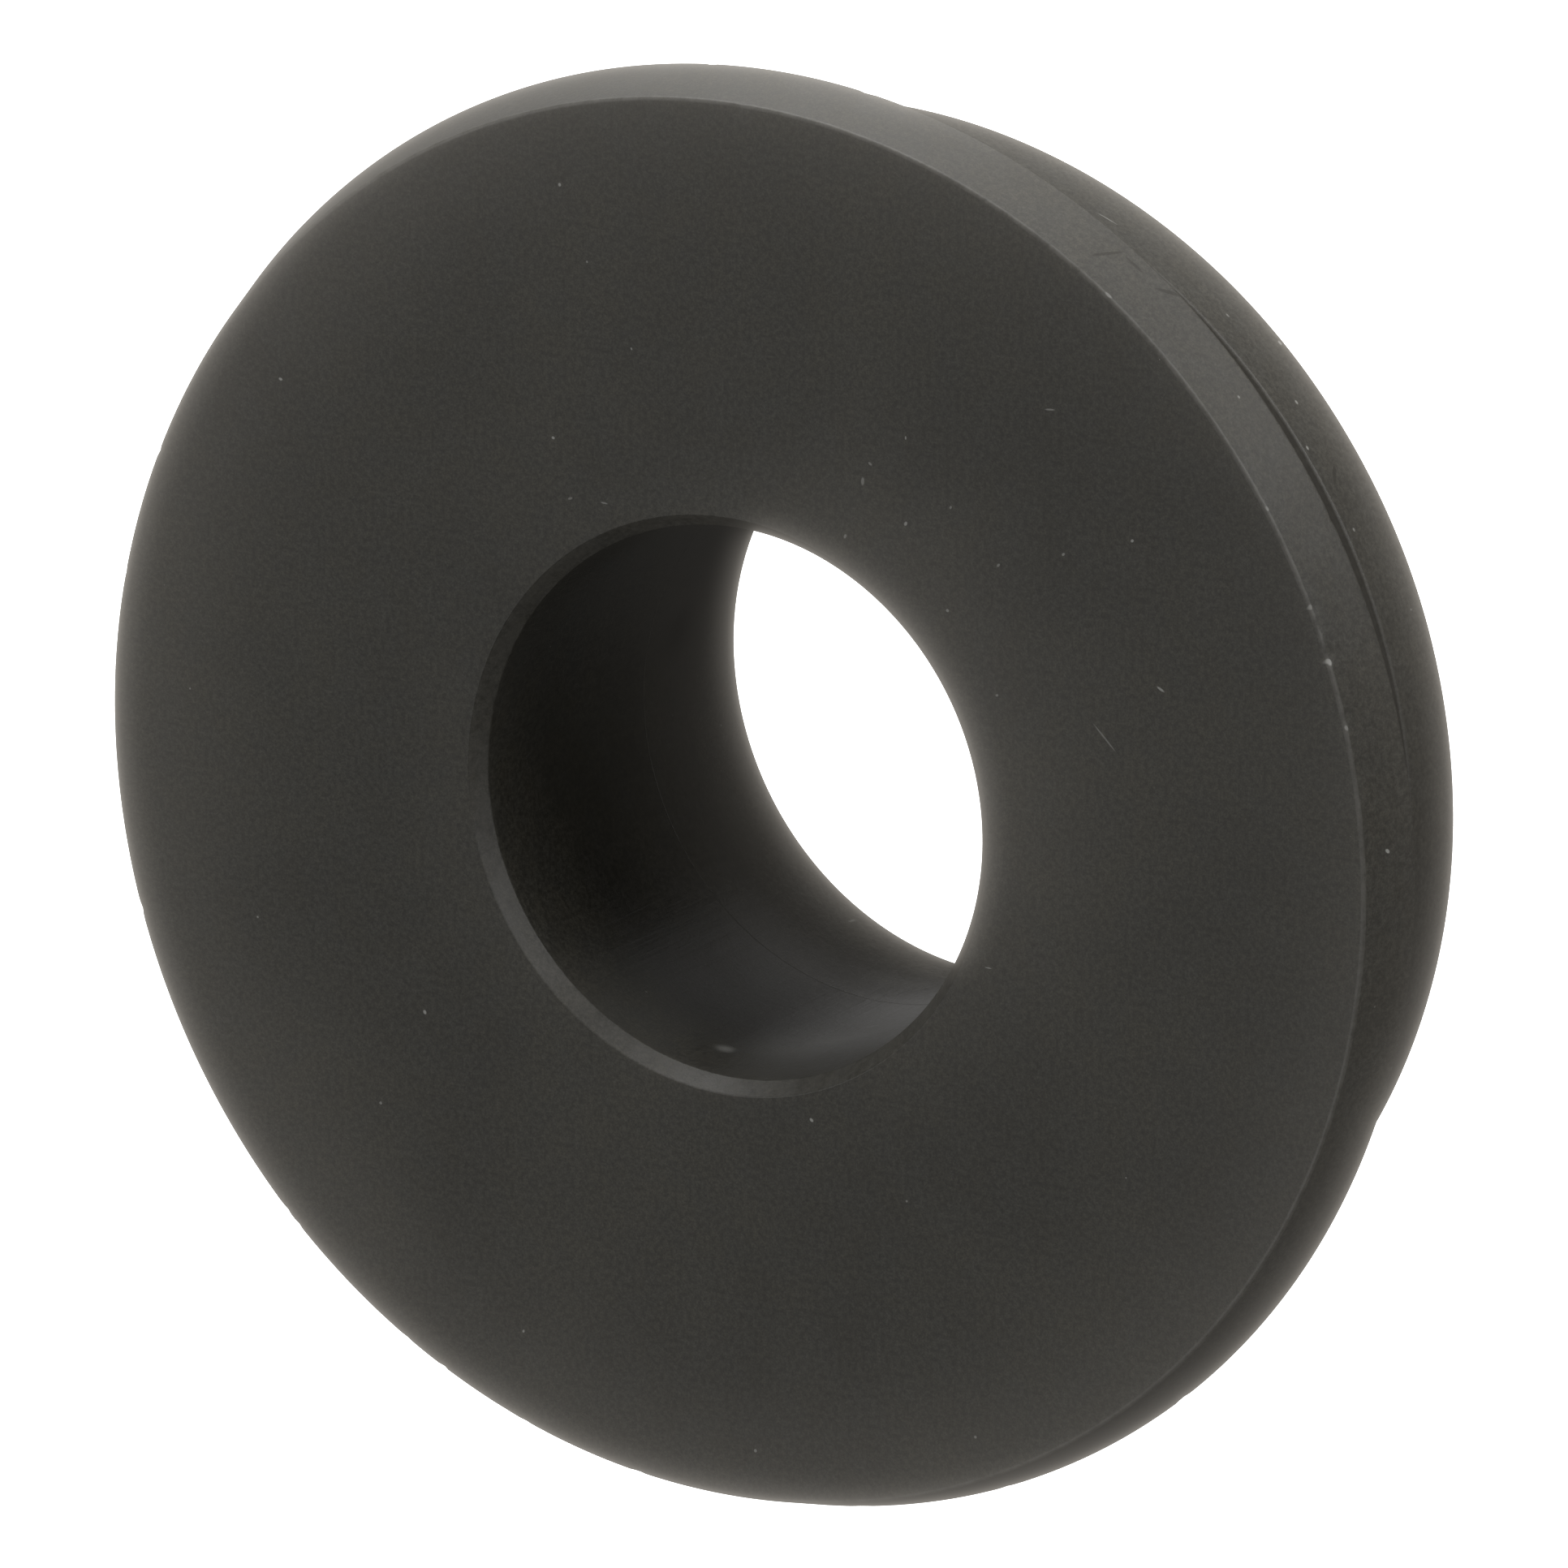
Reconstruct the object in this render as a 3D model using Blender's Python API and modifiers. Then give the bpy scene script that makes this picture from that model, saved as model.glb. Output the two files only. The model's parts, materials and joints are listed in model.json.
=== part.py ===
"""Ring-shaped fence insulator: a flanged front moulding pressed into a shouldered rear hub.

The bore runs along Y. The origin is the centre of the bore in the plane of the front face,
the front face looks towards -Y and the hub points towards +Y. Units are metres, +Z is up.
"""

import math

import bpy

MM = 0.001

# Bore
BORE_RADIUS = 12.5 * MM
BORE_CHAMFER_WIDTH = 0.6 * MM
BORE_CHAMFER_DEPTH = 0.75 * MM
REAR_BORE_RADIUS = 13.8 * MM

# Front flange: its rim widens slightly towards the rear
FACE_RADIUS = 31.6 * MM
RIM_RADIUS = 32.5 * MM
FLANGE_THICKNESS = 3.0 * MM
FACE_EDGE_ROUND = 0.12 * MM
RIM_EDGE_ROUND = 0.2 * MM

# Wire groove between the flange and the shoulder ring
GROOVE_WIDTH = 6.4 * MM
NECK_RADIUS = 24.0 * MM
GROOVE_FILLET = 2.0 * MM

# Shoulder ring
SHOULDER_RADIUS = 29.0 * MM
SHOULDER_LIP_ROUND = 0.8 * MM
SHOULDER_LAND_END = 13.3 * MM
SHOULDER_CHAMFER = 1.0 * MM

# Hub behind the shoulder
HUB_RADIUS = 22.0 * MM
HUB_DRAFT = 0.3 * MM
HUB_ROOT_FILLET = 1.0 * MM
HUB_END_CHAMFER = 1.2 * MM
HUB_MOUTH_ROUND = 0.2 * MM
TOTAL_LENGTH = 24.6 * MM

# Press joint: the flange's spigot sits in the hub's counterbore
SPIGOT_RADIUS = 17.5 * MM
SPIGOT_LEAD_IN = 0.8 * MM
SPIGOT_END = 14.0 * MM
SEAT_GAP = 0.3 * MM

SHOULDER_FRONT = FLANGE_THICKNESS + GROOVE_WIDTH
SHOULDER_BACK = SHOULDER_LAND_END + SHOULDER_CHAMFER
NECK_END = SHOULDER_FRONT - SEAT_GAP
SOCKET_RADIUS = SPIGOT_RADIUS + SEAT_GAP
SOCKET_END = SPIGOT_END + SEAT_GAP

TURN_STEPS = 96
ROUND_STEPS = 4
FILLET_STEPS = 6
MERGE_DISTANCE = 0.00001
SHARP_ANGLE = math.radians(28)

BLACK_PLASTIC = (0.045, 0.043, 0.038, 1.0)
ROUGHNESS = 0.55


def clear_scene():
    for old in list(bpy.data.objects):
        bpy.data.objects.remove(old, do_unlink=True)


def plastic(name, colour):
    material = bpy.data.materials.new(name)
    material.use_nodes = True
    shader = material.node_tree.nodes["Principled BSDF"]
    shader.inputs["Base Color"].default_value = colour
    shader.inputs["Roughness"].default_value = ROUGHNESS
    shader.inputs["Metallic"].default_value = 0.0
    return material


def arc(centre, radius, start_deg, end_deg, steps):
    """Points (radius from the axis, depth behind the face) along an arc, both ends included."""
    points = []
    for i in range(steps + 1):
        angle = math.radians(start_deg + (end_deg - start_deg) * i / steps)
        r = centre[0] + radius * math.cos(angle)
        depth = centre[1] + radius * math.sin(angle)
        points.append((r, depth))
    return points


def turned(name, profile, material, collection):
    """Turn a closed outline about the bore's axis.

    The outline runs down its outer side from the front to the rear and returns along the bore.
    """
    vertices = [(r, 0.0, -depth) for r, depth in profile]
    edges = [(i, (i + 1) % len(profile)) for i in range(len(profile))]
    outline = bpy.data.meshes.new(name + "_outline")
    outline.from_pydata(vertices, edges, [])
    obj = bpy.data.objects.new(name, outline)
    collection.objects.link(obj)
    screw = obj.modifiers.new("turn", "SCREW")
    screw.axis = "Z"
    screw.angle = 2 * math.pi
    screw.steps = TURN_STEPS
    screw.render_steps = TURN_STEPS
    screw.use_merge_vertices = True
    screw.merge_threshold = MERGE_DISTANCE

    bpy.context.view_layer.update()
    evaluated = obj.evaluated_get(bpy.context.evaluated_depsgraph_get())
    solid = bpy.data.meshes.new_from_object(evaluated)
    solid.name = name
    obj.modifiers.clear()
    obj.data = solid
    bpy.data.meshes.remove(outline)
    solid.shade_smooth()
    solid.set_sharp_from_angle(angle=SHARP_ANGLE)
    solid.materials.append(material)
    obj.rotation_euler = (math.pi / 2, 0.0, 0.0)
    return obj


def front_flange_profile():
    outline = [(BORE_RADIUS + BORE_CHAMFER_WIDTH, 0.0)]
    face_edge = (FACE_RADIUS - FACE_EDGE_ROUND, FACE_EDGE_ROUND)
    outline += arc(face_edge, FACE_EDGE_ROUND, -90, 0, ROUND_STEPS)
    rim_edge = (RIM_RADIUS - RIM_EDGE_ROUND, FLANGE_THICKNESS - RIM_EDGE_ROUND)
    outline += arc(rim_edge, RIM_EDGE_ROUND, 0, 90, ROUND_STEPS)
    groove_corner = (NECK_RADIUS + GROOVE_FILLET, FLANGE_THICKNESS + GROOVE_FILLET)
    outline += arc(groove_corner, GROOVE_FILLET, -90, -180, FILLET_STEPS)
    outline.append((NECK_RADIUS, NECK_END))
    outline.append((SPIGOT_RADIUS, NECK_END))
    outline.append((SPIGOT_RADIUS, SPIGOT_END - SPIGOT_LEAD_IN))
    outline.append((SPIGOT_RADIUS - SPIGOT_LEAD_IN, SPIGOT_END))
    outline.append((BORE_RADIUS, SPIGOT_END))
    outline.append((BORE_RADIUS, BORE_CHAMFER_DEPTH))
    return outline


def rear_hub_profile():
    outline = [(SOCKET_RADIUS, SHOULDER_FRONT)]
    lip = (SHOULDER_RADIUS - SHOULDER_LIP_ROUND, SHOULDER_FRONT + SHOULDER_LIP_ROUND)
    outline += arc(lip, SHOULDER_LIP_ROUND, -90, 0, ROUND_STEPS)
    outline.append((SHOULDER_RADIUS, SHOULDER_LAND_END))
    outline.append((SHOULDER_RADIUS - SHOULDER_CHAMFER, SHOULDER_BACK))
    root = (HUB_RADIUS + HUB_ROOT_FILLET, SHOULDER_BACK + HUB_ROOT_FILLET)
    outline += arc(root, HUB_ROOT_FILLET, -90, -180, FILLET_STEPS)
    hub_end_radius = HUB_RADIUS - HUB_DRAFT
    outline.append((hub_end_radius, TOTAL_LENGTH - HUB_END_CHAMFER))
    outline.append((hub_end_radius - HUB_END_CHAMFER, TOTAL_LENGTH))
    mouth = (REAR_BORE_RADIUS + HUB_MOUTH_ROUND, TOTAL_LENGTH - HUB_MOUTH_ROUND)
    outline += arc(mouth, HUB_MOUTH_ROUND, 90, 180, ROUND_STEPS)
    outline.append((BORE_RADIUS, SOCKET_END))
    outline.append((SOCKET_RADIUS, SOCKET_END))
    return outline


def build():
    clear_scene()
    collection = bpy.data.collections.new("fence_insulator")
    bpy.context.scene.collection.children.link(collection)
    front_plastic = plastic("front_plastic", BLACK_PLASTIC)
    rear_plastic = plastic("rear_plastic", BLACK_PLASTIC)
    turned("front_flange", front_flange_profile(), front_plastic, collection)
    turned("rear_hub", rear_hub_profile(), rear_plastic, collection)


build()
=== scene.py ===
"""Looks of the ring-shaped fence insulator: two black plastic mouldings in soft studio light.

The bore's axis is Y, the front face lies in y = 0 and looks towards -Y, and the hub points to +Y.
Outlines are drawn as (radius from the axis, depth behind the front face) and turned about the axis.
Clock angles run from +X (0 degrees) through +Z (90 degrees). Units are metres.
"""

import json
import math
from collections import namedtuple

import bpy
import numpy as np
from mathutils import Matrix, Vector, noise


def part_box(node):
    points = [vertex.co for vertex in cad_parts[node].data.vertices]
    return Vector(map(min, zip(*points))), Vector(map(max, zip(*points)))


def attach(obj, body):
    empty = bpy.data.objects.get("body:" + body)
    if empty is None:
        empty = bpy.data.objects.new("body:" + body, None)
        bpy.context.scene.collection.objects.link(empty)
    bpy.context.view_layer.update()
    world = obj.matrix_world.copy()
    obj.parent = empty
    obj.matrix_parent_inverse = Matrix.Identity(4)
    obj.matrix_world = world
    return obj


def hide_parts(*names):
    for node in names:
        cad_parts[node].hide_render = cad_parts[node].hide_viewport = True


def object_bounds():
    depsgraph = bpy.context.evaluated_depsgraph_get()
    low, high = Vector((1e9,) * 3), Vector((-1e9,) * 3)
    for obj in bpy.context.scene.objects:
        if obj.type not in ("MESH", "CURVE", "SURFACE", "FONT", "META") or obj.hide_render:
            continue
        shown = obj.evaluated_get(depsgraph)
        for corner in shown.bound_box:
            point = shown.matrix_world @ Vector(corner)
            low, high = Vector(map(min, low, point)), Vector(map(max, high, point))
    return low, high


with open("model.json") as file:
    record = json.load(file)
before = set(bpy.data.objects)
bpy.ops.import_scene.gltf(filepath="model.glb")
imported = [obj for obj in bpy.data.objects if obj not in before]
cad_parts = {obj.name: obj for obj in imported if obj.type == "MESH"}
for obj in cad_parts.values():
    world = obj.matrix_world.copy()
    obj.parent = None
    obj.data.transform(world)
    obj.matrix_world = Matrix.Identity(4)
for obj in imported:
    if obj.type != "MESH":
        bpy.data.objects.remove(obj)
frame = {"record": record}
cad_low, cad_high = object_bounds()

MM = 0.001

# Driving sizes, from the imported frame
flange_low, flange_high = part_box("front_flange")
hub_low, hub_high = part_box("rear_hub")
mounts = {mount["name"]: mount for mount in frame["record"]["mounts"]}
BORE_RADIUS = mounts["bore_hanger"]["dims"]["r_mm"] * MM
SHOULDER_BACK = mounts["post_shoulder"]["pos_m"][1]
RIM_RADIUS = flange_high.x
SPIGOT_END = flange_high.y
SHOULDER_RADIUS = hub_high.x
SHOULDER_FRONT = hub_low.y
TOTAL_LENGTH = hub_high.y

# The rest of both outlines, as in the CAD
FLANGE_THICKNESS = 3.0 * MM
RIM_BEVEL = 0.9 * MM
BORE_CHAMFER_WIDTH = 0.6 * MM
BORE_CHAMFER_DEPTH = 0.75 * MM
NECK_RADIUS = 24.0 * MM
GROOVE_FILLET = 2.0 * MM
SPIGOT_RADIUS = 17.5 * MM
SPIGOT_LEAD_IN = 0.8 * MM
SHOULDER_CHAMFER = 1.0 * MM
HUB_RADIUS = 22.0 * MM
HUB_DRAFT = 0.3 * MM
HUB_ROOT_FILLET = 1.0 * MM
HUB_END_CHAMFER = 1.2 * MM
REAR_BORE_RADIUS = 13.8 * MM
FACE_RADIUS = RIM_RADIUS - RIM_BEVEL
MOUTH_RADIUS = BORE_RADIUS + BORE_CHAMFER_WIDTH
SHOULDER_REAR_RADIUS = SHOULDER_RADIUS - SHOULDER_CHAMFER
HUB_END_RADIUS = HUB_RADIUS - HUB_DRAFT
HUB_REAR_RADIUS = HUB_END_RADIUS - HUB_END_CHAMFER

# Small departures from the CAD: a wider rim edge, and a bore that starts to widen behind the seam
RIM_SWELL = 0.08 * MM
REAR_BORE_START = 16.6 * MM
REAR_BORE_BLEND = 22 * MM

# The joint between the two mouldings, closed to a hairline
SEAM = 0.012 * MM
SEAM_BEHIND_SPIGOT = 0.26 * MM
SEAM_DEPTH = SPIGOT_END + SEAM_BEHIND_SPIGOT

# How far the edges are rounded
MOUTH_ROUND = 0.06 * MM
MOUTH_CHAMFER_ROUND = 0.10 * MM
FACE_ROUND = 0.16 * MM
RIM_ROUND = 0.12 * MM
HIDDEN_ROUND = 0.05 * MM
SEAM_ROUND = 0.015 * MM
SHOULDER_LIP_ROUND = 0.15 * MM
SHOULDER_LAND_ROUND = 0.3 * MM
HUB_ROUND = 0.25 * MM
REAR_ROUND = 0.2 * MM

# Paler tone on whole surfaces: painted light in the groove's shade, and a scuffed bore mouth chamfer. 0 is
# none and 1 is as pale as they get
GROOVE_PAINTED_LIGHT = 0.25
MOUTH_CHAMFER_SCUFF = 0.22

# Mesh fineness
TURN_STEPS = 720
ARC_STEP = math.radians(15)
SUPPORT = 0.05 * MM
FINE = 0.4 * MM
COARSE = 1.0 * MM
NICK_REACH = 0.35 * MM

# Camera
CAMERA_AZIMUTH = math.radians(30.06)
CAMERA_ELEVATION = math.radians(15.63)
CAMERA_DISTANCE = 634.6 * MM
CAMERA_RIGHT = 2.62 * MM
CAMERA_UP = 1.03 * MM
SENSOR_WIDTH = 36.0
LENS = 333.4

# Light: softboxes as name, azimuth (0 in front, 90 on the right), elevation and radiance
WHITE = (1.0, 1.0, 1.0, 1.0)
SOFTBOX_DISTANCE = 600 * MM
SOFTBOX_WIDTH = 350 * MM
SOFTBOXES = (
    ("left_overhead", 270, 75, 6.7),
    ("back_overhead", 180, 75, 2.6),
    ("right_high", 90, 45, 5.7),
    ("back_high", 180, 45, 0.43),
    ("back_left_high", 225, 45, 1.65),
    ("back_left_low", 225, 15, 0.45),
    ("front_left_low", 315, 15, 3.2),
    ("front_right_low", 45, 15, 2.5),
    ("front_under", 0, -30, 2.0),
)
FILL_FROM_BELOW = 0.12
BACKDROP = 1.6

# Floor: it glows more with the distance from the object
FLOOR_SIZE = 6.0
FLOOR_DROP = 60 * MM
FLOOR_COLOUR = (0.85, 0.85, 0.85, 1.0)
FLOOR_ROUGHNESS = 0.9
FLOOR_NEAR = 160 * MM
FLOOR_FAR = 600 * MM
FLOOR_NEAR_GLOW = 1.15
FLOOR_FAR_GLOW = 1.85

# Lens veil: share of the light and reach as a part of the picture's width
VEILS = ((0.107, 0.0078), (0.087, 0.028), (0.027, 0.171))
VEIL_TINT = (1.0, 0.93, 0.84, 1.0)


# ---- outlines ----

Corner = namedtuple("Corner", "radius depth round wear polish spacing scuff")


def corner(radius, depth, round_radius, wear=0.0, polish=0.0, spacing=COARSE, scuff=0.0):
    """A corner of an outline. Worn paleness belongs to its edge; polish, spacing and the stretch's paler
    tone (scuffing, and painted light in the groove) hold after it.
    """
    return Corner(radius, depth, round_radius, wear, polish, spacing, scuff)


def fillet(before, here, after):
    """The rounded corner's points, from the stretch before it to the one after it."""
    at = np.array([here.radius, here.depth])
    back = np.array([before.radius, before.depth]) - at
    ahead = np.array([after.radius, after.depth]) - at
    back /= np.linalg.norm(back)
    ahead /= np.linalg.norm(ahead)
    half = math.acos(np.clip(back @ ahead, -1.0, 1.0)) / 2
    middle = (back + ahead) / np.linalg.norm(back + ahead)
    centre = at + middle * here.round / math.sin(half)
    first = at + back * here.round / math.tan(half) - centre
    last = at + ahead * here.round / math.tan(half) - centre
    turn = math.pi - 2 * half
    steps = max(2, math.ceil(turn / ARC_STEP))
    points = []
    for i in range(steps + 1):
        share = i / steps
        swept = first * math.sin((1 - share) * turn) + last * math.sin(share * turn)
        points.append(centre + swept / math.sin(turn))
    return points


def stretch(start, end, spacing):
    """Points strictly between start and end: up to two close to each end, and evenly spaced ones."""
    length = np.linalg.norm(end - start)
    if length < 4 * SUPPORT:
        return []
    reaches = [SUPPORT, length - SUPPORT]
    if length > 3 * NICK_REACH:
        steps = math.ceil((length - 2 * NICK_REACH) / spacing)
        reaches[1:1] = np.linspace(NICK_REACH, length - NICK_REACH, steps + 1).tolist()
    along = (end - start) / length
    return [start + along * reach for reach in reaches]


def rounded_outline(corners):
    """The closed outline as rows of radius, depth, paleness (worn edges, scuffing and painted light in the
    groove) and polish.
    """
    arcs = []
    for i, here in enumerate(corners):
        after = corners[(i + 1) % len(corners)]
        arcs.append(fillet(corners[i - 1], here, after))
    rows = []
    for i, here in enumerate(corners):
        polish = (corners[i - 1].polish + here.polish) / 2
        rows += [(*point, here.wear, polish) for point in arcs[i]]
        next_start = arcs[(i + 1) % len(corners)][0]
        straight = stretch(arcs[i][-1], next_start, here.spacing)
        rows += [(*point, here.scuff, here.polish) for point in straight]
    return np.array(rows)


def front_flange_corners():
    """From the bore mouth over the face, rim, groove and spigot back to the mouth."""
    rim_rear = RIM_RADIUS + RIM_SWELL
    neck_end = SHOULDER_FRONT - SEAM
    spigot_end = SEAM_DEPTH - SEAM / 2
    return [
        corner(MOUTH_RADIUS, 0.0, MOUTH_ROUND),
        corner(FACE_RADIUS, 0.0, FACE_ROUND, wear=0.4, spacing=FINE),
        # The flange's rear face and neck get a paler tone: painted light in the groove's shade.
        corner(rim_rear, FLANGE_THICKNESS, RIM_ROUND, scuff=GROOVE_PAINTED_LIGHT),
        corner(NECK_RADIUS, FLANGE_THICKNESS, GROOVE_FILLET, scuff=GROOVE_PAINTED_LIGHT),
        corner(NECK_RADIUS, neck_end, HIDDEN_ROUND),
        corner(SPIGOT_RADIUS, neck_end, HIDDEN_ROUND),
        corner(SPIGOT_RADIUS, spigot_end - SPIGOT_LEAD_IN, REAR_ROUND),
        corner(SPIGOT_RADIUS - SPIGOT_LEAD_IN, spigot_end, REAR_ROUND),
        corner(BORE_RADIUS, spigot_end, SEAM_ROUND, polish=1.0, spacing=FINE),
        corner(
            BORE_RADIUS, BORE_CHAMFER_DEPTH, MOUTH_CHAMFER_ROUND,
            wear=0.2, polish=0.5, spacing=FINE, scuff=MOUTH_CHAMFER_SCUFF,
        ),
    ]


def rear_hub_corners():
    """From the socket over the shoulder, hub and rear face into the bore and back to the socket."""
    socket_radius = SPIGOT_RADIUS + SEAM
    socket_end = SEAM_DEPTH + SEAM / 2
    land_end = SHOULDER_BACK - SHOULDER_CHAMFER
    return [
        # The shoulder's front face gets a paler tone: painted light in the groove's shade.
        corner(socket_radius, SHOULDER_FRONT, HIDDEN_ROUND, scuff=GROOVE_PAINTED_LIGHT),
        corner(SHOULDER_RADIUS, SHOULDER_FRONT, SHOULDER_LIP_ROUND),
        corner(SHOULDER_RADIUS, land_end, SHOULDER_LAND_ROUND, wear=0.1),
        corner(SHOULDER_REAR_RADIUS, SHOULDER_BACK, REAR_ROUND, wear=0.4, spacing=FINE),
        corner(HUB_RADIUS, SHOULDER_BACK, HUB_ROOT_FILLET),
        corner(HUB_END_RADIUS, TOTAL_LENGTH - HUB_END_CHAMFER, HUB_ROUND, wear=0.2),
        corner(HUB_REAR_RADIUS, TOTAL_LENGTH, REAR_ROUND, wear=0.4, spacing=FINE),
        corner(REAR_BORE_RADIUS, TOTAL_LENGTH, REAR_ROUND, wear=0.3, polish=1.0, spacing=FINE),
        corner(BORE_RADIUS, REAR_BORE_START, REAR_BORE_BLEND, polish=1.0, spacing=FINE),
        corner(BORE_RADIUS, socket_end, SEAM_ROUND),
        corner(socket_radius, socket_end, HIDDEN_ROUND),
    ]


# ---- small shape faults of a used moulding ----

WOBBLE_SIZE = 9 * MM
WOBBLE_HEIGHT = 0.015 * MM

# Nicks in the edges. Knocks are single nicks of the face's edge, as clock in degrees and bite.
Nick = namedtuple("Nick", "radius depth clock width bite")
NARROWEST_NICK = 0.10 * MM
WIDEST_NICK = 0.30 * MM
DEEPEST_NICK = 0.07 * MM
DEEPEST_MOUTH_NICK = 0.015 * MM
SHALLOWEST_SHARE = 0.3
KNOCKS = ((15, 0.06 * MM), (20, 0.12 * MM), (24, 0.08 * MM))
KNOCK_WIDTH = 0.2 * MM

# A dished mark in the rear bore
DENT_CLOCK = math.radians(169)
DENT_DEPTH = 17.3 * MM
DENT_LENGTH = 4.2 * MM
DENT_WIDTH = 4.4 * MM
DENT_SINK = 0.10 * MM

# Ejector-pin marks
PIN_MARK_COUNT = 4
PIN_MARK_RADIUS = 1.4 * MM
PIN_MARK_SINK = 0.07 * MM
PIN_MARK_EDGE = 0.25 * MM
FLAT_TOLERANCE = 0.01 * MM


def smooth_step(value):
    """An S-curve from 0 to 1, flat at both ends."""
    value = np.clip(value, 0.0, 1.0)
    return value * value * (3 - 2 * value)


def random_nicks(seed, count, radius, depth, deepest=DEEPEST_NICK):
    """Nicks at random places along one edge."""
    draw = np.random.default_rng(seed)
    nicks = []
    for _ in range(count):
        clock = draw.uniform(0, 2 * math.pi)
        width = draw.uniform(NARROWEST_NICK, WIDEST_NICK)
        bite = draw.uniform(SHALLOWEST_SHARE, 1.0) * deepest
        nicks.append(Nick(radius, depth, clock, width, bite))
    return nicks


def nick_bite(radius, depth, clock, nicks):
    """How deep the nicks bite at each point."""
    total = np.zeros_like(radius)
    for nick in nicks:
        turned_by = (clock - nick.clock + math.pi) % (2 * math.pi) - math.pi
        across = turned_by * nick.radius / nick.width
        from_edge = np.hypot(radius - nick.radius, depth - nick.depth)
        total += nick.bite * np.exp(-across ** 2) * (1 - smooth_step(from_edge / NICK_REACH))
    return total


def bore_dent(radius, depth, clock):
    """A shallow dished mark in the rear bore's wall."""
    along = (depth - DENT_DEPTH) / (DENT_LENGTH / 2)
    across = (clock - DENT_CLOCK) * BORE_RADIUS / (DENT_WIDTH / 2)
    in_bore = radius < REAR_BORE_RADIUS + REAR_ROUND
    return DENT_SINK * in_bore * (1 - smooth_step(np.hypot(along, across)))


def pin_marks(radius, depth, clock):
    """Round ejector-pin marks sunk into the shoulder's rear face."""
    ring_radius = (HUB_RADIUS + HUB_ROOT_FILLET + SHOULDER_REAR_RADIUS) / 2
    on_face = np.abs(depth - SHOULDER_BACK) < FLAT_TOLERANCE
    total = np.zeros_like(radius)
    for i in range(PIN_MARK_COUNT):
        at = 2 * math.pi * (i + 0.5) / PIN_MARK_COUNT
        apart = np.hypot(
            radius * np.cos(clock) - ring_radius * math.cos(at),
            radius * np.sin(clock) - ring_radius * math.sin(at),
        )
        total += 1 - smooth_step((apart - PIN_MARK_RADIUS) / PIN_MARK_EDGE + 0.5)
    return PIN_MARK_SINK * on_face * total


def wobble(points):
    """Gentle unevenness left by cooling, as a height at each point."""
    return np.array([noise.noise(Vector(point) / WOBBLE_SIZE) for point in points]) * WOBBLE_HEIGHT


def flange_faults(radius, depth, clock):
    """How far each point of the flange moulding is sunk."""
    nicks = random_nicks(seed=11, count=34, radius=FACE_RADIUS, depth=0.0)
    for degrees, bite in KNOCKS:
        nicks.append(Nick(FACE_RADIUS, 0.0, math.radians(degrees), KNOCK_WIDTH, bite))
    nicks += random_nicks(seed=12, count=26, radius=MOUTH_RADIUS, depth=0.0, deepest=DEEPEST_MOUTH_NICK)
    nicks += random_nicks(seed=13, count=16, radius=RIM_RADIUS, depth=FLANGE_THICKNESS)
    return nick_bite(radius, depth, clock, nicks)


def hub_faults(radius, depth, clock):
    """How far each point of the hub moulding is sunk."""
    nicks = random_nicks(seed=14, count=14, radius=SHOULDER_REAR_RADIUS, depth=SHOULDER_BACK)
    nicks += random_nicks(seed=15, count=14, radius=HUB_REAR_RADIUS, depth=TOTAL_LENGTH)
    bites = nick_bite(radius, depth, clock, nicks)
    return bites + bore_dent(radius, depth, clock) + pin_marks(radius, depth, clock)


# ---- turned meshes ----

def add_object(name, data):
    made = bpy.data.objects.new(name, data)
    bpy.context.scene.collection.objects.link(made)
    return made


def outward(rows):
    """Unit normals of the outline, as (radial, axial) parts."""
    along = np.roll(rows[:, :2], -1, axis=0) - np.roll(rows[:, :2], 1, axis=0)
    normals = np.column_stack((along[:, 1], -along[:, 0]))
    return normals / np.linalg.norm(normals, axis=1, keepdims=True)


def ring_points(rows, sunk_by):
    """The outline turned about the axis, row by row, with its unevenness and faults."""
    radius = np.repeat(rows[:, 0], TURN_STEPS)
    depth = np.repeat(rows[:, 1], TURN_STEPS)
    clock = np.tile(np.arange(TURN_STEPS) * 2 * math.pi / TURN_STEPS, len(rows))
    across = np.column_stack((np.cos(clock), np.zeros_like(clock), np.sin(clock)))
    axis = np.array([0.0, 1.0, 0.0])
    points = radius[:, None] * across + depth[:, None] * axis
    slopes = np.repeat(outward(rows), TURN_STEPS, axis=0)
    normals = slopes[:, :1] * across + slopes[:, 1:] * axis
    height = wobble(points) - sunk_by(radius, depth, clock)
    return points + normals * height[:, None]


def ring_faces(count):
    """The quads between neighbouring rows of a closed ring with count rows."""
    ring = np.repeat(np.arange(count), TURN_STEPS)
    step = np.tile(np.arange(TURN_STEPS), count)
    next_ring = (ring + 1) % count
    next_step = (step + 1) % TURN_STEPS
    return np.column_stack((
        ring * TURN_STEPS + step,
        next_ring * TURN_STEPS + step,
        next_ring * TURN_STEPS + next_step,
        ring * TURN_STEPS + next_step,
    ))


def turned(name, rows, sunk_by):
    """A closed ring from an outline, with its paleness (worn edges, scuffing and painted light in the
    groove) and polish kept as mesh attributes.

    sunk_by(radius, depth, clock) says how far each point lies below the plain turned surface.
    """
    mesh = bpy.data.meshes.new(name)
    mesh.from_pydata(ring_points(rows, sunk_by).tolist(), [], ring_faces(len(rows)).tolist())
    mesh.shade_smooth()
    for label, column in (("wear", 2), ("polish", 3)):
        attribute = mesh.attributes.new(label, "FLOAT", "POINT")
        values = np.repeat(rows[:, column], TURN_STEPS)
        attribute.data.foreach_set("value", values.astype(np.float32))
    return add_object(name, mesh)
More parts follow.
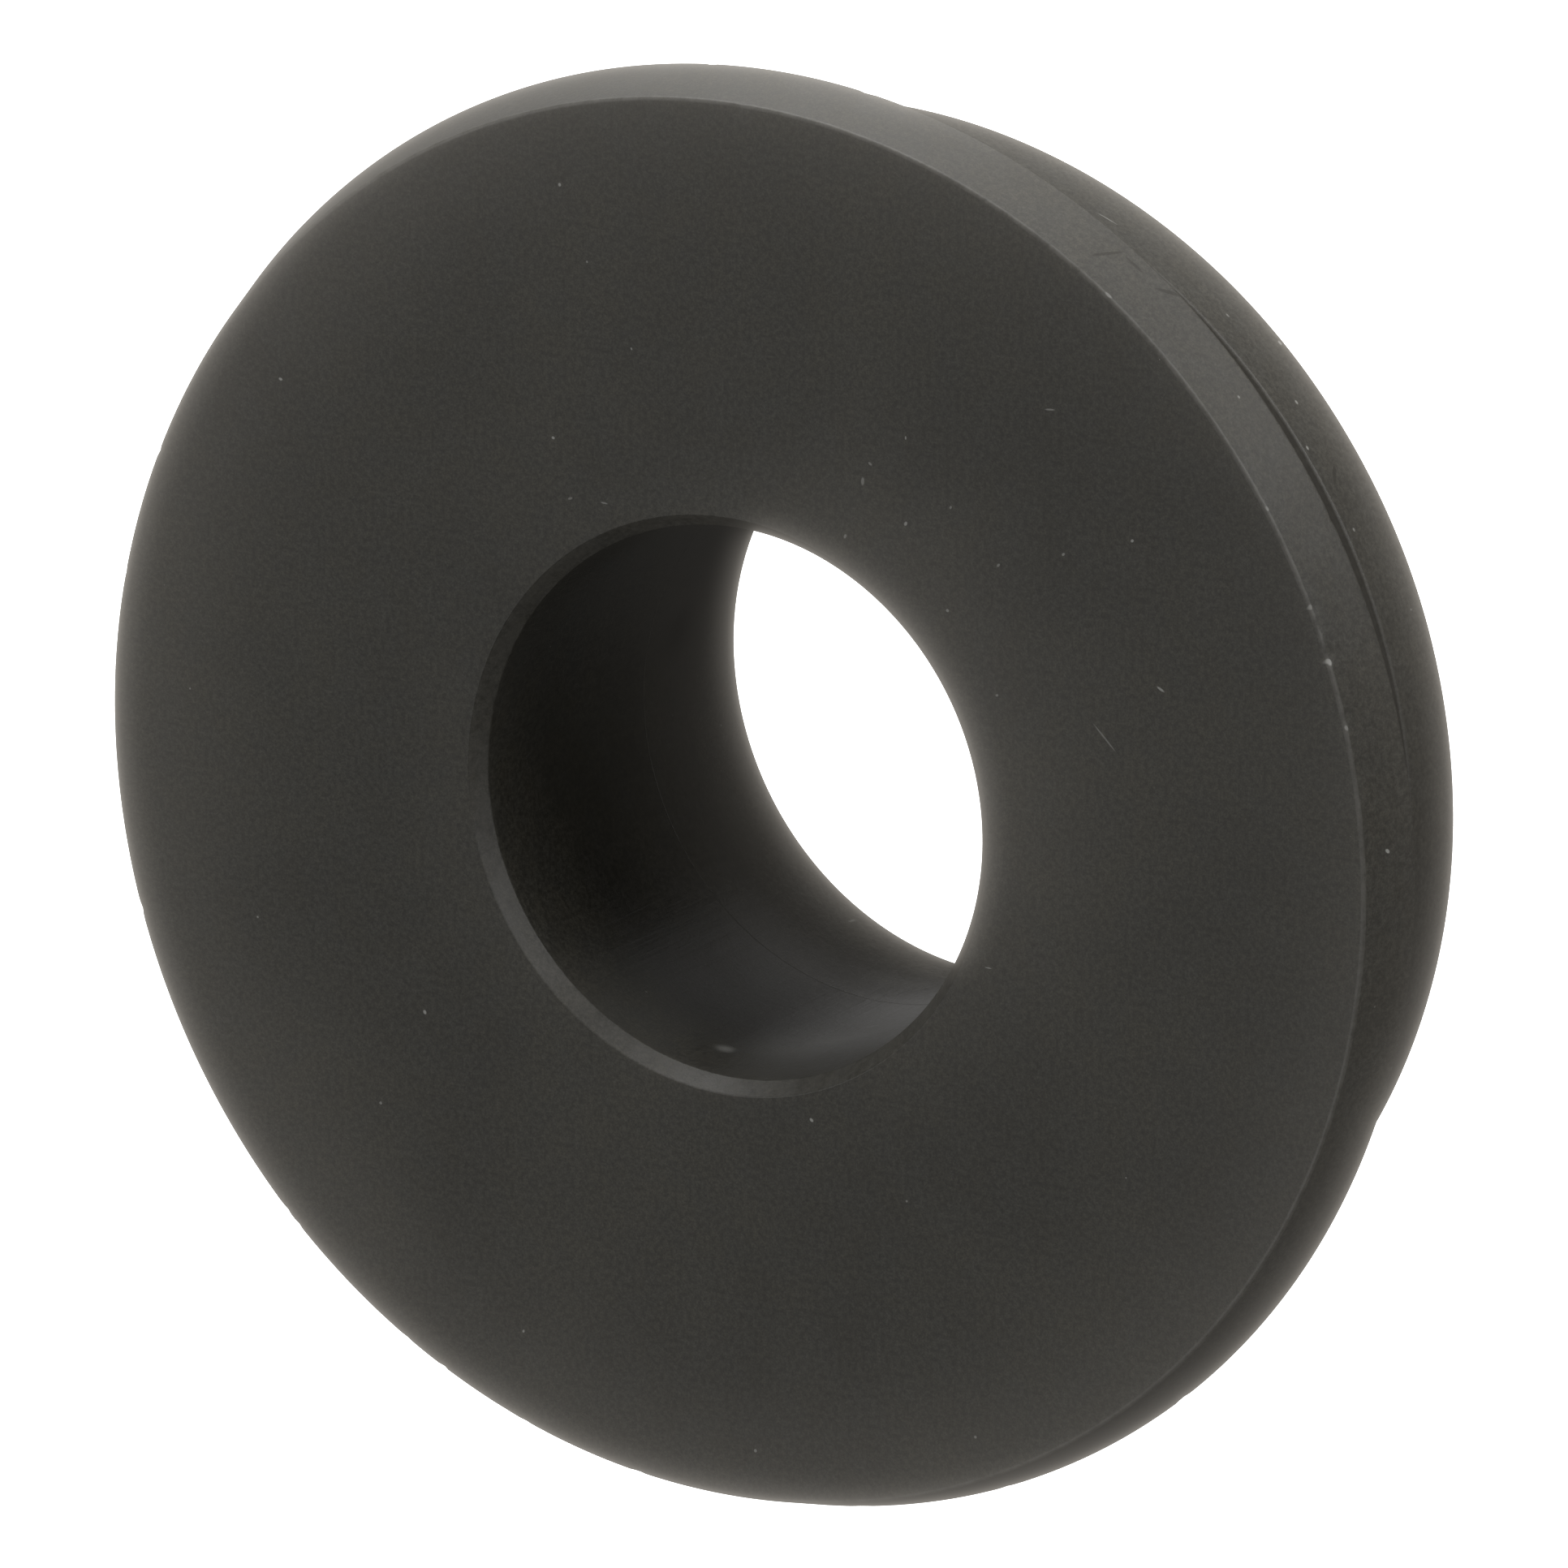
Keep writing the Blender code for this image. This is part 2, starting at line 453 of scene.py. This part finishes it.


# ---- marks ----

# Specks, lint and hairline scratches that are large enough to tell apart, and the painted highlights and
# painted dark reflection in the bore.
# Sizes are in mm and angles in degrees; lean turns a long mark. A tone above 0 is paler than the plastic.
Mark = namedtuple("Mark", "radius depth clock length width lean tone")
ON_FACE = 0.0
FACE_MARKS = (
    Mark(28.0, ON_FACE, 144, 0.24, 0.16, 20, 0.9),
    Mark(28.2, ON_FACE, 107, 0.20, 0.18, 0, 0.8),
    Mark(17.8, ON_FACE, 119, 0.20, 0.16, 50, 0.9),
    Mark(15.1, ON_FACE, 121, 0.30, 0.14, 80, 0.4),
    Mark(17.1, ON_FACE, 66, 0.45, 0.20, 20, 0.45),
    Mark(18.0, ON_FACE, 66, 0.26, 0.14, 80, 0.5),
    Mark(14.4, ON_FACE, 65, 0.26, 0.16, 0, 0.5),
    Mark(16.7, ON_FACE, 57, 0.26, 0.18, 0, 0.7),
    Mark(18.7, ON_FACE, 43, 0.24, 0.14, 0, 0.5),
    Mark(19.3, ON_FACE, 217, 0.26, 0.20, 80, 0.9),
    Mark(14.3, ON_FACE, 288, 0.26, 0.18, 30, 0.9),
    Mark(23.2, ON_FACE, 21, 0.50, 0.14, 311, 0.8),
    Mark(19.8, ON_FACE, 17, 1.90, 0.10, 298, 0.4),
    Mark(21.7, ON_FACE, 39, 0.22, 0.14, 0, 0.6),
    Mark(25.0, ON_FACE, 36, 0.20, 0.16, 0, 0.8),
    Mark(25.7, ON_FACE, 51, 0.60, 0.10, 313, 0.5),
    Mark(15.3, ON_FACE, 27, 0.18, 0.14, 0, 0.5),
    Mark(18.8, ON_FACE, 53, 0.18, 0.14, 0, 0.5),
    Mark(27.7, ON_FACE, 248, 0.18, 0.14, 0, 0.8),
    Mark(20.0, ON_FACE, 63, 0.20, 0.10, 30, 0.7),
    Mark(20.6, ON_FACE, 103, 0.16, 0.10, 10, 0.7),
    Mark(14.3, ON_FACE, 115, 0.45, 0.09, 60, 0.5),
    Mark(14.3, ON_FACE, 338, 0.40, 0.07, 20, 0.6),
)
RIM_MARKS = (
    Mark(31.6, 0.1, 14.3, 0.30, 0.16, 0, 0.5),
    Mark(31.6, 0.1, 19.6, 0.40, 0.22, 0, 0.8),
    Mark(31.6, 0.1, 24.1, 0.30, 0.18, 0, 0.5),
    Mark(31.6, 0.1, 32.4, 0.30, 0.16, 0, 0.4),
    Mark(31.6, 0.1, 53.2, 0.50, 0.16, 0, 0.4),
    Mark(32.1, 1.8, 56, 2.30, 0.22, 62, -0.5),
    Mark(32.3, 2.3, 54, 1.40, 0.20, 0, -0.45),
    Mark(32.4, 2.6, 50.7, 1.60, 0.26, 39, -0.5),
    Mark(32.1, 1.4, 4, 0.34, 0.20, 50, 1.0),
    Mark(32.1, 1.9, 41, 0.20, 0.14, 0, 0.6),
)
SHOULDER_MARKS = (
    Mark(29.0, 10.5, 63, 1.30, 0.10, 10, 0.5),
    Mark(29.0, 10.7, 33, 1.30, 0.30, 315, -0.7),
    Mark(29.0, 13.0, 45.4, 0.30, 0.22, 0, 0.7),
    Mark(28.9, 9.8, 36, 0.26, 0.20, 0, 0.8),
    Mark(29.0, 10.1, 28, 0.22, 0.18, 0, 0.6),
    Mark(29.0, 11.1, 40, 0.26, 0.20, 0, 0.7),
    Mark(29.0, 11.1, 49.6, 0.26, 0.16, 0, 0.5),
)
# Painted highlights: pale patches where the flange's bore reflects the light along its bottom.
FLANGE_BORE_PAINTED_HIGHLIGHTS = (
    Mark(12.5, 7.2, 272, 9.00, 7.00, 309, 0.26),
    Mark(12.5, 7.5, 274, 7.00, 3.00, 309, 0.34),
    Mark(12.5, 6.9, 267, 4.00, 1.80, 311, 0.25),
    Mark(12.5, 10.3, 277, 1.30, 0.50, 311, 0.25),
    Mark(12.5, 3.8, 260, 1.30, 1.20, 340, 0.70),
)
# Painted highlights: pale patches where the rear bore reflects the light.
HUB_BORE_PAINTED_HIGHLIGHTS = (
    Mark(12.7, 17.6, 264, 7.00, 5.00, 311, 0.18),
    Mark(13.5, 22.7, 241, 1.30, 0.22, 90, 0.30),
)
# A painted dark reflection over the dished mark in the rear bore, with less gloss.
HUB_BORE_PAINTED_DARK_REFLECTION = (
    Mark(12.8, 17.3, 169, 5.4, 4.8, 90, -1.0),
)

# How far a mark reaches above and below the surface, and how much of it keeps its full tone
FACE_MARK_REACH = 0.3 * MM
SIDE_MARK_REACH = 0.6 * MM
MARK_CORE = 0.5
# The painted highlights and the painted dark reflection fade out from their middle.
PAINTED_REFLECTION_CORE = 0.0


# ---- material ----

class Graph:
    """Short calls for building a node tree."""

    def __init__(self, tree):
        self.nodes = tree.nodes
        self.links = tree.links

    def node(self, kind, inputs, **settings):
        made = self.nodes.new(kind)
        for key, value in settings.items():
            setattr(made, key, value)
        for key, value in inputs.items():
            self.feed(made.inputs[key], value)
        return made

    def feed(self, socket, value):
        """Link another node's output to the socket, or set a plain value on it."""
        if isinstance(value, bpy.types.NodeSocket):
            self.links.new(value, socket)
        else:
            socket.default_value = value

    def calculate(self, operation, first, second=0.0):
        return self.node("ShaderNodeMath", {0: first, 1: second}, operation=operation).outputs[0]

    def times(self, first, second):
        return self.calculate("MULTIPLY", first, second)

    def plus(self, first, second):
        return self.calculate("ADD", first, second)

    def smaller(self, first, second):
        return self.calculate("MINIMUM", first, second)

    def larger(self, first, second):
        return self.calculate("MAXIMUM", first, second)

    def vector_calculate(self, operation, first, second):
        inputs = {0: first, 1: second}
        return self.node("ShaderNodeVectorMath", inputs, operation=operation).outputs[0]

    def moved(self, vector, shift):
        return self.vector_calculate("ADD", vector, shift)

    def length(self, vector):
        return self.node("ShaderNodeVectorMath", {0: vector}, operation="LENGTH").outputs["Value"]

    def remap(self, value, low, high, to_low=0.0, to_high=1.0):
        inputs = {"Value": value, "From Min": low, "From Max": high, "To Min": to_low, "To Max": to_high}
        return self.node("ShaderNodeMapRange", inputs, interpolation_type="SMOOTHSTEP").outputs[0]

    def mix(self, factor, first, second):
        inputs = {0: factor, 6: first, 7: second}
        return self.node("ShaderNodeMix", inputs, data_type="RGBA").outputs[2]

    def shade(self, colour, factor):
        """The colour made lighter or darker by a factor."""
        inputs = {0: colour, "Scale": factor}
        return self.node("ShaderNodeVectorMath", inputs, operation="SCALE").outputs[0]

    def place(self):
        """The place on the object, in its own frame."""
        return self.node("ShaderNodeTexCoord", {}).outputs["Object"]

    def attribute(self, name):
        return self.node("ShaderNodeAttribute", {}, attribute_name=name).outputs["Fac"]

    def squeezed(self, vector, turn, factors):
        """The pattern space scaled axis by axis and then turned by Euler angles."""
        inputs = {"Vector": vector, "Rotation": turn, "Scale": factors}
        return self.node("ShaderNodeMapping", inputs).outputs[0]

    def noise(self, vector, size, detail=2.0, roughness=0.5):
        inputs = {"Vector": vector, "Scale": 1 / size, "Detail": detail, "Roughness": roughness}
        return self.node("ShaderNodeTexNoise", inputs).outputs[0]

    def specks(self, vector, cell, largest, softness):
        """Scattered dots, one in each cell, of random size and strength."""
        made = self.node("ShaderNodeTexVoronoi", {"Vector": vector, "Scale": 1 / cell})
        random = self.node("ShaderNodeSeparateColor", {"Color": made.outputs["Color"]})
        reach = self.times(random.outputs["Red"], largest / cell)
        inside = self.calculate("SUBTRACT", reach, made.outputs["Distance"])
        dot = self.remap(inside, 0.0, softness / cell)
        strength = self.calculate("POWER", random.outputs["Green"], 2.0)
        return self.times(dot, strength)

    def mark(self, place, mark, core):
        """A speck, scratch, painted highlight or painted dark reflection on the surface. It fades out from
        the core's edge.
        """
        clock = math.radians(mark.clock)
        lean = math.radians(mark.lean)
        long_side = mark.length / 2 * MM
        short_side = mark.width / 2 * MM
        at = (mark.radius * math.cos(clock) * MM, mark.depth * MM, mark.radius * math.sin(clock) * MM)
        if mark.depth == ON_FACE:
            turn = (0.0, -clock - lean, 0.0)
            sides = (long_side, FACE_MARK_REACH, short_side)
        else:
            turn = (lean, -clock, 0.0)
            sides = (SIDE_MARK_REACH, short_side, long_side)
        inputs = {"Vector": place, "Location": at, "Rotation": turn, "Scale": sides}
        local = self.node("ShaderNodeMapping", inputs, vector_type="TEXTURE").outputs[0]
        return self.remap(self.length(local), core, 1.0, abs(mark.tone), 0.0)

    def all_marks(self, place, marks, core):
        """The strongest of the marks at each place."""
        total = 0.0
        for mark in marks:
            total = self.larger(total, self.mark(place, mark, core))
        return total


# Colours
LIGHT_PLASTIC = (0.0330, 0.0312, 0.0243, 1.0)
DARK_PLASTIC = (0.0259, 0.0245, 0.0194, 1.0)
COOL_PLASTIC = (0.0285, 0.0285, 0.0250, 1.0)
# Pale worn plastic; also painted into the groove as painted light.
SCUFFED_AND_PAINTED_LIGHT = (0.110, 0.107, 0.098, 1.0)
# Dust, lint and pale marks; also the colour of the painted highlights in the bore.
DUST_AND_HIGHLIGHT = (0.300, 0.300, 0.280, 1.0)
# Dark scratches, and the painted dark reflection in the rear bore.
DARK_MARK_AND_REFLECTION = (0.012, 0.0115, 0.010, 1.0)

# Sizes of the patterns
CLOUD_SIZE = 11 * MM
PATCH_SIZE = 2.5 * MM
TINT_SIZE = 1.6 * MM
TINT_SHIFT = (0.7, 0.2, 0.4)
GRAIN_SIZE = 0.24 * MM
FINE_GRAIN_SIZE = 0.09 * MM
SCUFF_SIZE = 0.9 * MM
DRAG_LINE_SIZE = 0.5 * MM
DRAG_LINE_SQUEEZE = (1.0, 0.03, 1.0)
DUST_CELL = 1.6 * MM
DUST_LARGEST = 0.09 * MM
DUST_SOFTNESS = 0.03 * MM
HAIR_CELL = 2.0 * MM
HAIR_LARGEST = 0.045 * MM
HAIR_SOFTNESS = 0.03 * MM
HAIR_SQUEEZE = (0.06, 1.0, 1.0)
HAIR_TURNS = ((0.0, 0.6, 0.0), (0.0, 2.0, 0.0), (0.5, 1.2, 0.0))
UNTURNED = (0.0, 0.0, 0.0)

# The part of each noise's range that is used, from low to high
CLOUD_RANGE = (0.32, 0.68)
TINT_RANGE = (0.35, 0.65)
PATCH_RANGE = (0.2, 0.8)
GRAIN_RANGE = (0.3, 0.7)
ROUGH_GRAIN_RANGE = (0.2, 0.8)
SCUFF_RANGE = (0.30, 0.62)

# What the patterns do to the colour
TINT_LEVELS = (0.0, 0.45)
PATCH_LEVELS = (0.95, 1.05)
GRAIN_LEVELS = (0.62, 1.38)
FINE_GRAIN_LEVELS = (0.72, 1.28)
SCUFF_LEVELS = (0.25, 1.0)
HAIR_SHARE = 0.35
DUST_SHARE = 0.6

# Roughness and gloss
CLOUD_ROUGHNESS = (0.50, 0.57)
GRAIN_ROUGHNESS = (-0.05, 0.05)
POLISH_ROUGHNESS = -0.14
DUST_ROUGHNESS = 0.2
ROUGHEST = 0.9
GLOSS = 0.5
DARK_MARK_AND_REFLECTION_GLOSS = -0.4

# Heights of the patterns
GRAIN_HEIGHT = 0.007 * MM
FINE_GRAIN_HEIGHT = 0.0025 * MM
PATCH_HEIGHT = 0.012 * MM
CLOUD_HEIGHT = 0.030 * MM
DRAG_LINE_HEIGHT = 0.020 * MM
SCUFF_HEIGHT = 0.006 * MM
DUST_HEIGHT = 0.010 * MM

Patterns = namedtuple("Patterns", "clouds patches grain fine_grain drag_lines scuffs dust")


def plastic_patterns(graph, space):
    """The patterns that the plastic's colour, roughness and bump share."""
    drag_space = graph.squeezed(space, UNTURNED, DRAG_LINE_SQUEEZE)
    scuffs = graph.noise(space, SCUFF_SIZE, detail=3.0, roughness=0.7)
    return Patterns(
        clouds=graph.noise(space, CLOUD_SIZE),
        patches=graph.noise(space, PATCH_SIZE, detail=3.0),
        grain=graph.noise(space, GRAIN_SIZE, detail=3.0, roughness=0.6),
        fine_grain=graph.noise(space, FINE_GRAIN_SIZE),
        drag_lines=graph.noise(drag_space, DRAG_LINE_SIZE, detail=3.0, roughness=0.7),
        scuffs=graph.remap(scuffs, *SCUFF_RANGE, *SCUFF_LEVELS),
        dust=graph.specks(space, DUST_CELL, DUST_LARGEST, DUST_SOFTNESS),
    )


def hairline_scratches(graph, space):
    """Dots drawn out into fine lines along X. Each turn samples another layer of them."""
    total = 0.0
    for turn in HAIR_TURNS:
        strands = graph.squeezed(space, turn, HAIR_SQUEEZE)
        total = graph.larger(total, graph.specks(strands, HAIR_CELL, HAIR_LARGEST, HAIR_SOFTNESS))
    return total


def bare_colour(graph, space, patterns):
    """The clean plastic: cloudy, drifting between warmer and cooler black, and grainy."""
    colour = graph.mix(graph.remap(patterns.clouds, *CLOUD_RANGE), DARK_PLASTIC, LIGHT_PLASTIC)
    tint = graph.noise(graph.moved(space, TINT_SHIFT), TINT_SIZE, detail=3.0)
    colour = graph.mix(graph.remap(tint, *TINT_RANGE, *TINT_LEVELS), colour, COOL_PLASTIC)
    colour = graph.shade(colour, graph.remap(patterns.patches, *PATCH_RANGE, *PATCH_LEVELS))
    colour = graph.shade(colour, graph.remap(patterns.grain, *GRAIN_RANGE, *GRAIN_LEVELS))
    return graph.shade(colour, graph.remap(patterns.fine_grain, *GRAIN_RANGE, *FINE_GRAIN_LEVELS))


def plastic_roughness(graph, patterns, polish):
    rough = graph.remap(patterns.clouds, *CLOUD_RANGE, *CLOUD_ROUGHNESS)
    rough = graph.plus(rough, graph.remap(patterns.grain, *ROUGH_GRAIN_RANGE, *GRAIN_ROUGHNESS))
    rough = graph.plus(rough, graph.times(polish, POLISH_ROUGHNESS))
    rough = graph.plus(rough, graph.times(patterns.dust, DUST_ROUGHNESS))
    return graph.smaller(rough, ROUGHEST)


def plastic_bump(graph, patterns, polish):
    height = graph.times(patterns.grain, GRAIN_HEIGHT)
    height = graph.plus(height, graph.times(patterns.fine_grain, FINE_GRAIN_HEIGHT))
    height = graph.plus(height, graph.times(patterns.patches, PATCH_HEIGHT))
    height = graph.plus(height, graph.times(patterns.clouds, CLOUD_HEIGHT))
    drag_lines = graph.times(patterns.drag_lines, polish)
    height = graph.plus(height, graph.times(drag_lines, DRAG_LINE_HEIGHT))
    height = graph.plus(height, graph.times(patterns.scuffs, SCUFF_HEIGHT))
    height = graph.plus(height, graph.times(patterns.dust, DUST_HEIGHT))
    inputs = {"Strength": 1.0, "Distance": 1.0, "Height": height}
    return graph.node("ShaderNodeBump", inputs).outputs[0]


def make_plastic(name, shift, marks, highlight_marks, dark_reflection_marks):
    """Matte black moulded plastic: cloudy tone, fine grain, dust, hairline scratches, scuffed edges,
    painted light in the groove, and painted highlights and a painted dark reflection in the bore.
    """
    material = bpy.data.materials.new(name)
    material.use_nodes = True
    graph = Graph(material.node_tree)
    place = graph.place()
    space = graph.moved(place, shift)
    polish = graph.attribute("polish")
    patterns = plastic_patterns(graph, space)

    pale_marks = graph.all_marks(place, [mark for mark in marks if mark.tone > 0], MARK_CORE)
    dark_marks = graph.all_marks(place, [mark for mark in marks if mark.tone < 0], MARK_CORE)
    # Painted highlights in the bore.
    painted_highlights = graph.all_marks(place, highlight_marks, PAINTED_REFLECTION_CORE)
    # Painted dark reflection in the rear bore.
    painted_dark_reflection = graph.all_marks(place, dark_reflection_marks, PAINTED_REFLECTION_CORE)
    # Paler where edges are worn and the chamfer scuffed, and painted light in the groove's shade.
    scuff = graph.times(graph.attribute("wear"), patterns.scuffs)
    hairs = hairline_scratches(graph, space)

    colour = bare_colour(graph, space, patterns)
    # Painted dark reflection in the rear bore, then dark scratches.
    colour = graph.mix(painted_dark_reflection, colour, DARK_MARK_AND_REFLECTION)
    colour = graph.mix(dark_marks, colour, DARK_MARK_AND_REFLECTION)
    # Painted highlights in the bore, in the pale colour.
    colour = graph.mix(painted_highlights, colour, DUST_AND_HIGHLIGHT)
    colour = graph.mix(scuff, colour, SCUFFED_AND_PAINTED_LIGHT)
    colour = graph.mix(graph.times(hairs, HAIR_SHARE), colour, DUST_AND_HIGHLIGHT)
    colour = graph.mix(graph.times(patterns.dust, DUST_SHARE), colour, DUST_AND_HIGHLIGHT)
    colour = graph.mix(pale_marks, colour, DUST_AND_HIGHLIGHT)
    # Less gloss on the dark scratches and on the painted dark reflection.
    gloss = graph.plus(GLOSS, graph.times(graph.larger(painted_dark_reflection, dark_marks), DARK_MARK_AND_REFLECTION_GLOSS))

    shader = graph.nodes["Principled BSDF"]
    graph.feed(shader.inputs["Base Color"], colour)
    graph.feed(shader.inputs["Roughness"], plastic_roughness(graph, patterns, polish))
    graph.feed(shader.inputs["Specular IOR Level"], gloss)
    graph.feed(shader.inputs["Normal"], plastic_bump(graph, patterns, polish))
    return material


# ---- studio ----

def direction_to(azimuth, elevation):
    """The unit vector from the object towards a place in the studio."""
    return Vector((
        math.sin(azimuth) * math.cos(elevation),
        -math.cos(azimuth) * math.cos(elevation),
        math.sin(elevation),
    ))


def aim(item, back):
    """Turn a camera or light so that it looks against the vector back."""
    item.rotation_mode = "QUATERNION"
    item.rotation_quaternion = back.to_track_quat("Z", "Y")


def make_camera():
    right = Vector((math.cos(CAMERA_AZIMUTH), math.sin(CAMERA_AZIMUTH), 0.0))
    back = direction_to(CAMERA_AZIMUTH, CAMERA_ELEVATION)
    up = back.cross(right)
    data = bpy.data.cameras.new("camera")
    data.sensor_width = SENSOR_WIDTH
    data.lens = LENS
    camera = add_object("camera", data)
    camera.location = right * CAMERA_RIGHT + up * CAMERA_UP + back * CAMERA_DISTANCE
    aim(camera, back)
    bpy.context.scene.camera = camera


def make_softbox(name, azimuth, elevation, radiance):
    """A square soft light aimed at the object."""
    back = direction_to(math.radians(azimuth), math.radians(elevation))
    data = bpy.data.lights.new(name, "AREA")
    data.size = SOFTBOX_WIDTH
    data.energy = radiance * math.pi * SOFTBOX_WIDTH ** 2
    light = add_object(name, data)
    light.location = back * SOFTBOX_DISTANCE
    aim(light, back)


def make_surround():
    """A dim fill from below for the object, and a white backdrop for the camera."""
    world = bpy.data.worlds.new("studio")
    world.use_nodes = True
    bpy.context.scene.world = world
    graph = Graph(world.node_tree)
    direction = graph.node("ShaderNodeTexCoord", {}).outputs["Generated"]
    height = graph.node("ShaderNodeSeparateXYZ", {0: direction}).outputs["Z"]
    below = graph.smaller(height, 0.0)
    strength = graph.times(graph.times(below, below), FILL_FROM_BELOW)
    fill = graph.nodes["Background"]
    graph.feed(fill.inputs["Color"], WHITE)
    graph.feed(fill.inputs["Strength"], strength)
    backdrop = graph.node("ShaderNodeBackground", {"Color": WHITE, "Strength": BACKDROP})
    seen = graph.node("ShaderNodeLightPath", {}).outputs["Is Camera Ray"]
    inputs = {"Fac": seen, 1: fill.outputs["Background"], 2: backdrop.outputs["Background"]}
    mix = graph.node("ShaderNodeMixShader", inputs)
    graph.feed(graph.nodes["World Output"].inputs["Surface"], mix.outputs["Shader"])


def make_floor_material():
    material = bpy.data.materials.new("pale_floor")
    material.use_nodes = True
    graph = Graph(material.node_tree)
    flat = graph.vector_calculate("MULTIPLY", graph.place(), (1.0, 1.0, 0.0))
    glow = graph.remap(graph.length(flat), FLOOR_NEAR, FLOOR_FAR, FLOOR_NEAR_GLOW, FLOOR_FAR_GLOW)
    shader = graph.nodes["Principled BSDF"]
    graph.feed(shader.inputs["Base Color"], FLOOR_COLOUR)
    graph.feed(shader.inputs["Roughness"], FLOOR_ROUGHNESS)
    graph.feed(shader.inputs["Emission Color"], WHITE)
    graph.feed(shader.inputs["Emission Strength"], glow)
    return material


def make_floor():
    """A pale glowing table below the object. It doesn't light the object."""
    mesh = bpy.data.meshes.new("floor")
    half = FLOOR_SIZE / 2
    height = cad_low.z - FLOOR_DROP
    corners = [(-half, -half, height), (half, -half, height), (half, half, height), (-half, half, height)]
    mesh.from_pydata(corners, [], [(0, 1, 2, 3)])
    mesh.materials.append(make_floor_material())
    floor = add_object("floor", mesh)
    floor.visible_diffuse = False
    floor.visible_glossy = False
    floor.visible_shadow = False


def make_lens_veil():
    """The soft glow that a bright backdrop spreads over dark edges in a real lens."""
    scene = bpy.context.scene
    scene.use_nodes = True
    scene.node_tree.nodes.clear()
    graph = Graph(scene.node_tree)
    sharp = graph.node("CompositorNodeRLayers", {}).outputs["Image"]
    picture = sharp
    for share, reach in VEILS:
        size = graph.node(
            "CompositorNodeRelativeToPixel", {0: (reach, reach), "Image": sharp},
            data_type="VECTOR", reference_dimension="PER_DIMENSION",
        )
        blur_inputs = {"Image": sharp, "Size": size.outputs[1]}
        blur = graph.node("CompositorNodeBlur", blur_inputs, filter_type="FAST_GAUSS")
        tint_inputs = {"Fac": 1.0, 1: blur.outputs[0], 2: VEIL_TINT}
        tinted = graph.node("CompositorNodeMixRGB", tint_inputs, blend_type="MULTIPLY")
        mix_inputs = {"Fac": share, 1: picture, 2: tinted.outputs[0]}
        picture = graph.node("CompositorNodeMixRGB", mix_inputs).outputs[0]
    graph.node("CompositorNodeComposite", {"Image": picture})


# ---- the whole scene ----

def place_piece(name, corners, faults, node, material):
    piece = turned(name, rounded_outline(corners), faults)
    piece.data.materials.append(material)
    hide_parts(node)
    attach(piece, "root")


flange_material = make_plastic(
    "flange_plastic", (0.0, 0.0, 0.0), FACE_MARKS + RIM_MARKS, FLANGE_BORE_PAINTED_HIGHLIGHTS, ()
)
hub_material = make_plastic(
    "hub_plastic", (0.31, 0.17, 0.05), SHOULDER_MARKS, HUB_BORE_PAINTED_HIGHLIGHTS, HUB_BORE_PAINTED_DARK_REFLECTION
)
place_piece(
    "flange_moulding", front_flange_corners(), flange_faults, "front_flange", flange_material
)
place_piece("hub_moulding", rear_hub_corners(), hub_faults, "rear_hub", hub_material)

bpy.context.scene.view_settings.view_transform = "Standard"
make_camera()
make_surround()
make_floor()
for softbox in SOFTBOXES:
    make_softbox(*softbox)
make_lens_veil()
